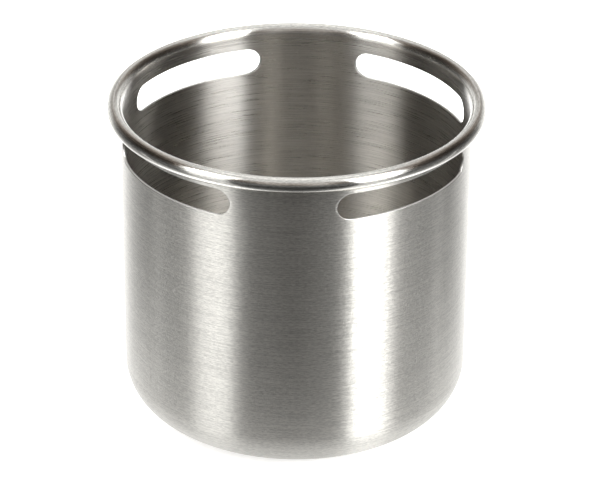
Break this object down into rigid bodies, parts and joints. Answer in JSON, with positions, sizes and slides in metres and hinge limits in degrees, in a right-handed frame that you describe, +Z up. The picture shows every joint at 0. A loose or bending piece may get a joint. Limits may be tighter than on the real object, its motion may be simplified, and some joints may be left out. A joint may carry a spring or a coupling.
{
  "type": "slotted vessel",
  "caption": "Cylindrical drawn stainless steel vessel with a rounded bottom corner, a rim rolled into a bead, and long round-ended slots in a ring under the rim.",
  "frame": {"origin": "middle of the bottom's outer face", "axes": "+Z up along the vessel's axis, with one slot facing each of +X, +Y, -X and -Y"},
  "size_m": [0.133, 0.133, 0.1175],
  "materials": {
    "brushed_stainless": "fine grain brushed round the vessel, brighter on the rolled bead"
  },
  "bodies": {
    "root": {"vessel_shell": "brushed_stainless"}
  },
  "joints": []
}
